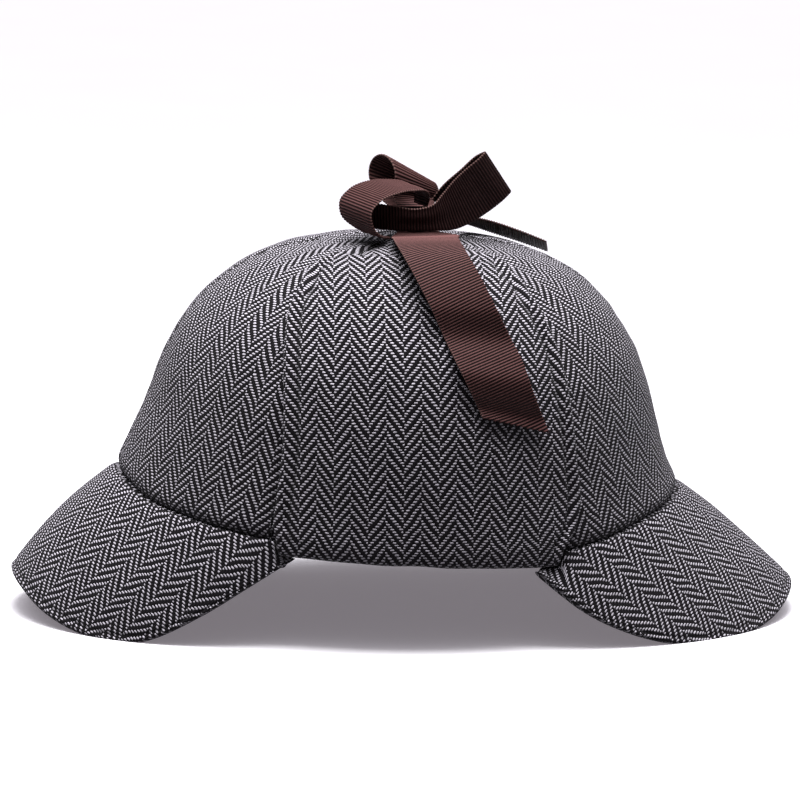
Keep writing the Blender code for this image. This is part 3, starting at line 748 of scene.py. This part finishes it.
def ribbon(name, back, front, material, held, rests_on, pleats=0.0, leans=(0, 0), step=RIBBON_STEP, plain=0):
    """A ribbed ribbon between two edges, each a smooth curve through its rows of points.

    A rib is |sin(pi x length / pitch)|, to a power, high, on both faces.  The ribs lie square to the
    ribbon's own run, which leans from the rows by an angle that goes from one value to another along it.
    Where the ribbon is drawn narrower than it was woven it lies in pleats across its width, which stand up
    as far as the missing width asks for.  Over its first, plain stretch its ribs lie flattened.
    """
    back = np.asarray(back, float)
    front = np.asarray(front, float)
    knots = run_along((back + front) / 2, 0)
    count = round(knots[-1] / RIB_PITCH)
    at = np.linspace(0, knots[-1], count * RIB_STEPS + 1)
    edges = [smooth(at, knots, edge) for edge in (back, front)]
    length = run_along((edges[0] + edges[1]) / 2, 0)
    place, cloth = edged(RIBBON_WIDTH, step, RIBBON_EDGE)
    share = (place / RIBBON_WIDTH)[None, :, None]
    grid = edges[0][:, None] * (1 - share) + edges[1][:, None] * share
    width = np.linalg.norm(edges[1] - edges[0], axis=-1)
    gathered = 1 - np.clip(width / RIBBON_WIDTH, 0, 1)
    pleat = pleats * gathered[:, None] * np.sin(PLEAT_WAVES * np.pi * share[..., 0] + PLEAT_PHASE)
    grid = grid + grid_normals(grid) * pleat[..., None]
    normal = grid_normals(grid)
    lean = np.radians(np.interp(length, (0, length[-1]), leans))[:, None]
    woven = length[:, None] + cloth * np.sin(lean)
    rib = np.abs(np.sin(np.pi * woven / RIB_PITCH)) ** RIB_POWER
    ribbed = np.clip((woven - plain) / RIB_GROWS, RIB_PRESSED, 1)
    depth = RIBBON_WALL / 2 - RIB_HEIGHT * (1 - rib) * ribbed
    shift = normal * (depth * roundness(place, RIBBON_WIDTH, RIBBON_EDGE))[..., None]
    pattern = np.stack([np.broadcast_to(cloth * np.cos(lean), woven.shape), woven], -1)
    faces = (grid + shift, grid - shift)
    add_cloth(name, faces, pattern, material, rests_on)


def strap(name, side, material):
    """A strap laid over the crown from a flap's tip to the knot."""
    rows = np.array(STRAP_ROWS)
    y = side * STRAP_STARTS[side] * (1 - rows[:, 0]) + (KNOT_MIDDLE[1] + side) * rows[:, 0]
    edges = [np.stack([x, y, crown_height(x, y) + rows[:, 3]], -1) for x in (rows[:, 1], rows[:, 2])]
    ribbon(name, *edges, material, "laid", ["crown_side_" + SIDES[side]])


def tail_near(name, material):
    """The near tail: from under the knot's front down over the near flap, its end cut on a slant."""
    rows = np.array(TAIL_NEAR_ROWS)
    slant = np.linspace(0, 1, len(rows)) ** 2 * TAIL_CUT
    edges = []
    for column, cut, root in zip((1, 2), (0.0, slant), TAIL_NEAR_ROOT):
        way = rows[:, 0] - cut
        edges.append(np.concatenate([[root], crown_off(turn_at(rows[:, column], way, -1), way, rows[:, 3])]))
    rests_on = ["ear_flap_near", "bow_knot"]
    ribbon(name, *edges, material, "draped", rests_on, TAIL_PLEATS, TAIL_LEANS, TAIL_STEP, TAIL_PLAIN)


def loose_ribbon(name, material):
    """A ribbon whose folds stand in a table by their middles and the direction of their width."""
    rows = np.array(RIBBON_ROWS[name], float)
    aim, slope = np.radians(rows[:, 3]), np.radians(rows[:, 4])
    width = np.stack([np.cos(slope) * np.cos(aim), np.cos(slope) * np.sin(aim), np.sin(slope)], -1)
    half = rows[:, 5:] / 2 * width
    edges = [rows[:, :3] - half, rows[:, :3] + half]
    held = "draped" if "tail" in name else "folded"
    ribbon(name, *edges, material, held, ["bow_knot"], LOOSE_PLEATS)


def loop_back(name, material):
    """The back loop: a roll ruled between two ovals, its two layers running on underneath to the knot."""
    opening = np.radians(LOOP_BACK_OPEN) / 2
    round_about = np.linspace(opening, 2 * np.pi - opening, LOOP_BACK_POINTS)
    turn = np.radians(LOOP_BACK_TURN)
    back, lower = LOOP_BACK_ROOT
    edges = []
    for x, y, z, half_depth, half_height, root_x, root_y, root_z in LOOP_BACK_ENDS:
        depth = half_depth * np.sin(round_about)
        height = half_height * np.cos(round_about)
        oval = np.stack([x + depth * np.sin(turn), y - depth * np.cos(turn), z - height], -1)
        edges.append([(root_x, root_y, root_z), *oval, (root_x, root_y + back, root_z - lower)])
    ribbon(name, *edges, material, "folded", ["bow_knot"])


def knot(name, material):
    """The knot: the ribbon wound once round the bow's middle, gathered in creases that run with it.

    It is an oval tube whose section swells along it; its two ends meet underneath.  Each crease is a
    bell-shaped groove whose line wanders as the sine of the angle round the knot.
    """
    around = np.linspace(*KNOT_TURN, KNOT_RIBS * RIB_STEPS + 1) * 2 * np.pi
    place, cloth = edged(RIBBON_WIDTH, KNOT_STEP, RIBBON_EDGE)
    along = 2 * place / RIBBON_WIDTH - 1
    rows = np.array(KNOT_ROWS)
    size = smooth(along, rows[:, 0], rows[:, 1])[None, :]
    offset = KNOT_HALF[0] * along[None, :]
    groove = sum(
        bell(offset - at - wander * np.sin(around[:, None] + phase), deep, wide)
        for at, wander, phase, deep, wide in KNOT_CREASES
    )
    rib = np.abs(np.sin(np.arange(len(around)) * np.pi / RIB_STEPS)) ** RIB_POWER
    shrink = -groove - KNOT_RIB_HEIGHT * (1 - rib)[:, None]
    y = (KNOT_HALF[1] * size + shrink) * np.cos(around)[:, None]
    z = (KNOT_HALF[2] * size + shrink) * np.sin(around)[:, None]
    section = np.stack([np.broadcast_to(offset, shrink.shape), y, z], -1)
    outer = section + KNOT_MIDDLE
    normal = grid_normals(section)
    normal *= np.sign((normal * section).sum(-1).mean())
    inner = outer - normal * RIBBON_WALL
    faces = rounded(outer, inner, np.ones(len(around)), roundness(place, RIBBON_WIDTH, RIBBON_EDGE))
    length = np.linspace(0, KNOT_RIBS * RIB_PITCH, len(around))
    pattern = np.stack(np.broadcast_arrays(cloth[None, :], length[:, None]), -1)
    rests_on = ["bow_loop_left", "bow_loop_right"]
    add_cloth(name, faces, pattern, material, rests_on)


# ---- materials
def colour(code):
    """The linear colour, with full alpha, of an sRGB hex code."""
    part = np.array([int(code[k : k + 2], 16) for k in (1, 3, 5)]) / 255
    linear = np.where(part <= 0.04045, part / 12.92, ((part + 0.055) / 1.055) ** 2.4)
    return (*linear.tolist(), 1.0)


def add_node(tree, kind, feeds=(), output=0, **settings):
    """Adds a node with its settings, and returns one of its outputs; a feed is a socket or a value."""
    node = tree.nodes.new("ShaderNode" + kind)
    for name, value in settings.items():
        setattr(node, name, value)
    for key, value in feeds.items() if isinstance(feeds, dict) else enumerate(feeds):
        if isinstance(value, bpy.types.NodeSocket):
            tree.links.new(value, node.inputs[key])
        else:
            node.inputs[key].default_value = value
    return node.outputs[output]


def work_out(tree, rows, known):
    """Works through a table of sums, whose rows name a result, what it starts from and the steps."""
    for name, start, *steps in rows:
        known[name] = known.get(start, start)
        for operation, *terms in steps:
            feeds = [known[name]] + [known.get(term, term) for term in terms]
            known[name] = add_node(tree, "Math", feeds, operation=operation)


def new_material(name, code, roughness, specular):
    """A material, its node tree and its shader, with its main colour, roughness and specular level."""
    material = bpy.data.materials.new(name)
    material.use_nodes = True
    tree = material.node_tree
    shader = tree.nodes["Principled BSDF"]
    shader.inputs["Base Color"].default_value = colour(code)
    shader.inputs["Roughness"].default_value = roughness
    shader.inputs["Specular IOR Level"].default_value = specular
    return material, tree, shader


def herringbone_tweed():
    """Wool tweed, woven: light weft threads float over two near-black warp threads at a time.

    Each row of weft starts one warp thread further on, which draws a diagonal.  Every eight threads, or
    6 mm, the diagonal turns back, and there it is broken: it starts again two rows further on.  The eye
    gets rows of short light dashes in a zigzag, each a rounded thread that dips under at its ends, on a
    dark ground that shows only as a slight relief, with fuzz over it all.  Painted shade darkens the warp
    where it lies low between the floats, and both kinds of thread along seams and in the grooves beside hems.
    """
    material, tree, shader = new_material("herringbone_tweed", "#2A262B", 0.92, 0.1)
    shader.inputs["Sheen Weight"].default_value = 0.03
    shader.inputs["Sheen Roughness"].default_value = 0.6
    pattern = add_node(tree, "UVMap", uv_map="pattern")
    # the cloth is drawn a little out of true every 6 mm
    drift = add_node(tree, "TexNoise", {"Vector": pattern, "Scale": 0.16, "Detail": 1.0}, 1)
    known = {
        "across_flat": add_node(tree, "SeparateXYZ", [pattern]),
        "along_flat": add_node(tree, "SeparateXYZ", [pattern], 1),
        "drift_across": add_node(tree, "SeparateXYZ", [drift]),
        "drift_along": add_node(tree, "SeparateXYZ", [drift], 1),
        # a thread is uneven every millimetre or so
        "uneven": add_node(tree, "TexNoise", {"Vector": pattern, "Scale": 0.9, "Detail": 2.0}),
        # fuzz stands out at about a third of a millimetre
        "fuzz": add_node(tree, "TexNoise", {"Vector": pattern, "Scale": 3.2, "Detail": 1.0}),
        # painted shade along seams and in hem grooves, kept on each mesh
        "painted_seam_shade": add_node(tree, "Attribute", (), 2, attribute_name="painted_seam_shade"),
    }
    work_out(tree, TWEED_SUMS, known)
    edge = {"Value": known["float_round"], "From Min": 1.15, "From Max": 0.72}
    weft_shows = add_node(tree, "MapRange", edge, interpolation_type="SMOOTHSTEP")
    warp, weft = (
        add_node(tree, "VectorMath", {0: colour(code)[:3], "Scale": known[tone]}, operation="SCALE")
        for code, tone in (("#100C11", "shade"), ("#C2BDC6", "lit"))
    )
    # a colour mix takes its factor at 0 and its two colours at 6 and 7
    both = add_node(tree, "Mix", {0: weft_shows, 6: warp, 7: weft}, 2, data_type="RGBA")
    tree.links.new(both, shader.inputs["Base Color"])
    relief = add_node(tree, "Bump", {"Strength": 0.9, "Distance": 0.28 * MM, "Height": known["relief"]})
    tree.links.new(relief, shader.inputs["Normal"])
    return material


def brown_grosgrain(name, crest, groove):
    """Grosgrain ribbon, woven polyester: fine warp threads packed over thick ribs, nearly matt.

    The ribs are in the mesh.  Painted light and shade follow them: the colour goes from the crests' lighter
    tone to the grooves' darker one.  The threads draw faint lines along the ribbon, and small loops of weft
    make the two edges lighter, a dot to every rib.
    """
    material, tree, shader = new_material(name, "#4A2C28", 0.6, 0.05)
    pattern = add_node(tree, "UVMap", uv_map="pattern")
    # streaks a third of a millimetre wide and 4 mm long
    drawn_out = add_node(tree, "VectorMath", {0: pattern, 1: (3.0, 0.25, 1.0)}, operation="MULTIPLY")
    known = {
        "across": add_node(tree, "SeparateXYZ", [pattern]),
        "along": add_node(tree, "SeparateXYZ", [pattern], 1),
        "streaks": add_node(tree, "TexNoise", {"Vector": drawn_out, "Scale": 1.0, "Detail": 2.0}),
        "crest": crest,
        "groove": groove,
    }
    work_out(tree, GROSGRAIN_SUMS, known)
    body = add_node(tree, "VectorMath", {0: colour("#4B3231")[:3], "Scale": known["tone"]}, operation="SCALE")
    edge = add_node(tree, "Mix", {0: known["dot"], 6: body, 7: colour("#8A6C66")}, 2, data_type="RGBA")
    tree.links.new(edge, shader.inputs["Base Color"])
    relief = add_node(tree, "Bump", {"Strength": 0.5, "Distance": 0.06 * MM, "Height": known["thread"]})
    tree.links.new(relief, shader.inputs["Normal"])
    return material


def pale_floor():
    """Matt white board, faintly glowing so that shadows on it stay pale, with only the faintest mottle."""
    material, tree, shader = new_material("pale_floor", "#F4F3F5", 0.7, 0.1)
    shader.inputs["Emission Color"].default_value = colour("#F6ECF6")
    shader.inputs["Emission Strength"].default_value = FLOOR_GLOW
    place = add_node(tree, "TexCoord", (), 3)
    mottle = add_node(tree, "TexNoise", {"Vector": place, "Scale": 7.0, "Detail": 2.0})
    tint = add_node(tree, "Mix", {0: mottle, 6: colour("#F1F0F3"), 7: colour("#F7F6F8")}, 2, data_type="RGBA")
    tree.links.new(tint, shader.inputs["Base Color"])
    return material


# ---- floor, lights and camera
CAMERA_TARGET = (-2.2, 0.0, 76.0)
CAMERA_DISTANCE = 1400.0
CAMERA_AZIMUTH = -5.0  # degrees round from the near side, towards the back of the hat
CAMERA_HEIGHT = 9.0  # degrees above the floor
CAMERA_ROLL = 0.8
CAMERA_SENSOR = 36.0
CAMERA_LENS = 172.0
CAMERA_SIGHT = 100.0  # metres to the furthest thing it sees
LIGHTS = (
    # name, x, y, z, target_z, size, power
    ("top_softbox", -20, -85, 700, 80, 460, 8.6),
)
# The room's own light: below the horizon, where it stands for the floor's, at it, and overhead.
ROOM_LIGHT = (0.2, 0.07, 0.26)
HORIZON = 0.1  # of the direction's height, in which the light from below fades out
CEILING_LIGHT = 4.0  # a white ceiling adds this,
CEILING_POWER = 8.0  # by this power of the direction's height
FLOOR_GLOW = 0.2  # of the floor's own, which fills the shadow under the hat
FLOOR_HALF = 9.0  # metres


def add_floor(material):
    """A square floor at the height that the brims rest on, so wide that it reaches the horizon.

    It throws no light back; the room's light from below stands for that.
    """
    mesh = bpy.data.meshes.new("floor")
    corners = [(x * FLOOR_HALF, y * FLOOR_HALF, 0.0) for x, y in ((-1, -1), (1, -1), (1, 1), (-1, 1))]
    mesh.from_pydata(corners, [], [(0, 1, 2, 3)])
    mesh.materials.append(material)
    floor = add_object("floor", mesh)
    floor.visible_diffuse = False


def facing(place, back, roll=0.0):
    """The matrix of a camera or lamp at this place, its back along this direction, turned by roll."""
    back = unit(np.asarray(back, float))
    right = unit(np.cross([0.0, 0.0, 1.0], back))
    up = np.cross(back, right)
    turn = np.radians(roll)
    across = right * np.cos(turn) + up * np.sin(turn)
    matrix = np.eye(4)
    matrix[:3, :3] = np.stack([across, np.cross(back, across), back], 1)
    matrix[:3, 3] = np.asarray(place) * MM
    return Matrix(matrix.tolist())


def add_lights():
    """A square softbox over the hat, aimed at its middle, in a white room that is brightest overhead."""
    for name, x, y, z, target_z, size, power in LIGHTS:
        lamp = bpy.data.lights.new(name, "AREA")
        lamp.size = size * MM
        lamp.energy = power
        add_object(name, lamp).matrix_world = facing((x, y, z), (x, y, z - target_z))
    world = bpy.data.worlds.new("white_room")
    world.use_nodes = True
    tree = world.node_tree
    below, level, above = ROOM_LIGHT
    height = add_node(tree, "SeparateXYZ", [add_node(tree, "TexCoord", (), 0)], 2)
    upper = add_node(tree, "MapRange", {"Value": height, "To Min": level, "To Max": above})
    fade = {"Value": height, "From Min": -HORIZON, "From Max": 0.0, "To Min": below / level}
    ground = add_node(tree, "MapRange", fade)
    ceiling = add_node(tree, "Math", [height, 0.0], operation="MAXIMUM")
    ceiling = add_node(tree, "Math", [ceiling, CEILING_POWER], operation="POWER")
    background = tree.nodes["Background"]
    background.inputs["Color"].default_value = colour("#FBF9FF")
    strength = add_node(tree, "Math", [upper, ground], operation="MULTIPLY")
    strength = add_node(tree, "Math", [ceiling, CEILING_LIGHT, strength], operation="MULTIPLY_ADD")
    tree.links.new(strength, background.inputs["Strength"])
    bpy.context.scene.world = world
    bpy.context.scene.view_settings.view_transform = "Standard"


def add_camera():
    """The camera at the photograph's angle: a long lens, a little above the brims, slightly rolled."""
    azimuth, height = np.radians(CAMERA_AZIMUTH), np.radians(CAMERA_HEIGHT)
    back = np.array([np.sin(azimuth) * np.cos(height), -np.cos(azimuth) * np.cos(height), np.sin(height)])
    lens = bpy.data.cameras.new("camera")
    lens.lens = CAMERA_LENS
    lens.sensor_width = CAMERA_SENSOR
    lens.clip_end = CAMERA_SIGHT
    camera = add_object("camera", lens)
    camera.matrix_world = facing(np.array(CAMERA_TARGET) + back * CAMERA_DISTANCE, back, CAMERA_ROLL)
    bpy.context.scene.camera = camera


# ---- the whole hat
def main():
    """The stage, then the pieces, from the crown's panels round the head to the bow."""
    add_floor(pale_floor())
    add_lights()
    add_camera()
    tweed = herringbone_tweed()
    # the ribbon's colour, and two copies of it with painted shade
    grosgrain, grosgrain_painted_half_shade, grosgrain_painted_shade = (brown_grosgrain(*row) for row in GROSGRAINS)
    # from the front round over the far side
    panels = ("front_far", "side_far", "back_far", "back_near", "side_near", "front_near")
    for number, name in enumerate(panels):
        crown_panel("crown_" + name, number, tweed)
    for name in BRIMS:
        brim(name, tweed)
    for make, start, material in ((ear_flap, "ear_flap_", tweed), (strap, "ribbon_strap_", grosgrain)):
        for side, name in SIDES.items():
            make(start + name, side, material)
    tail_near("ribbon_tail_near", grosgrain)
    # the left loop gets the copy with some painted shade, the right loop and the far tail the darker one
    for name, material in zip(RIBBON_ROWS, (grosgrain_painted_half_shade, grosgrain_painted_shade, grosgrain_painted_shade)):
        loose_ribbon(name, material)
    # the back loop gets the copy with some painted shade, the knot the darker one
    loop_back("bow_loop_back", grosgrain_painted_half_shade)
    knot("bow_knot", grosgrain_painted_shade)


main()
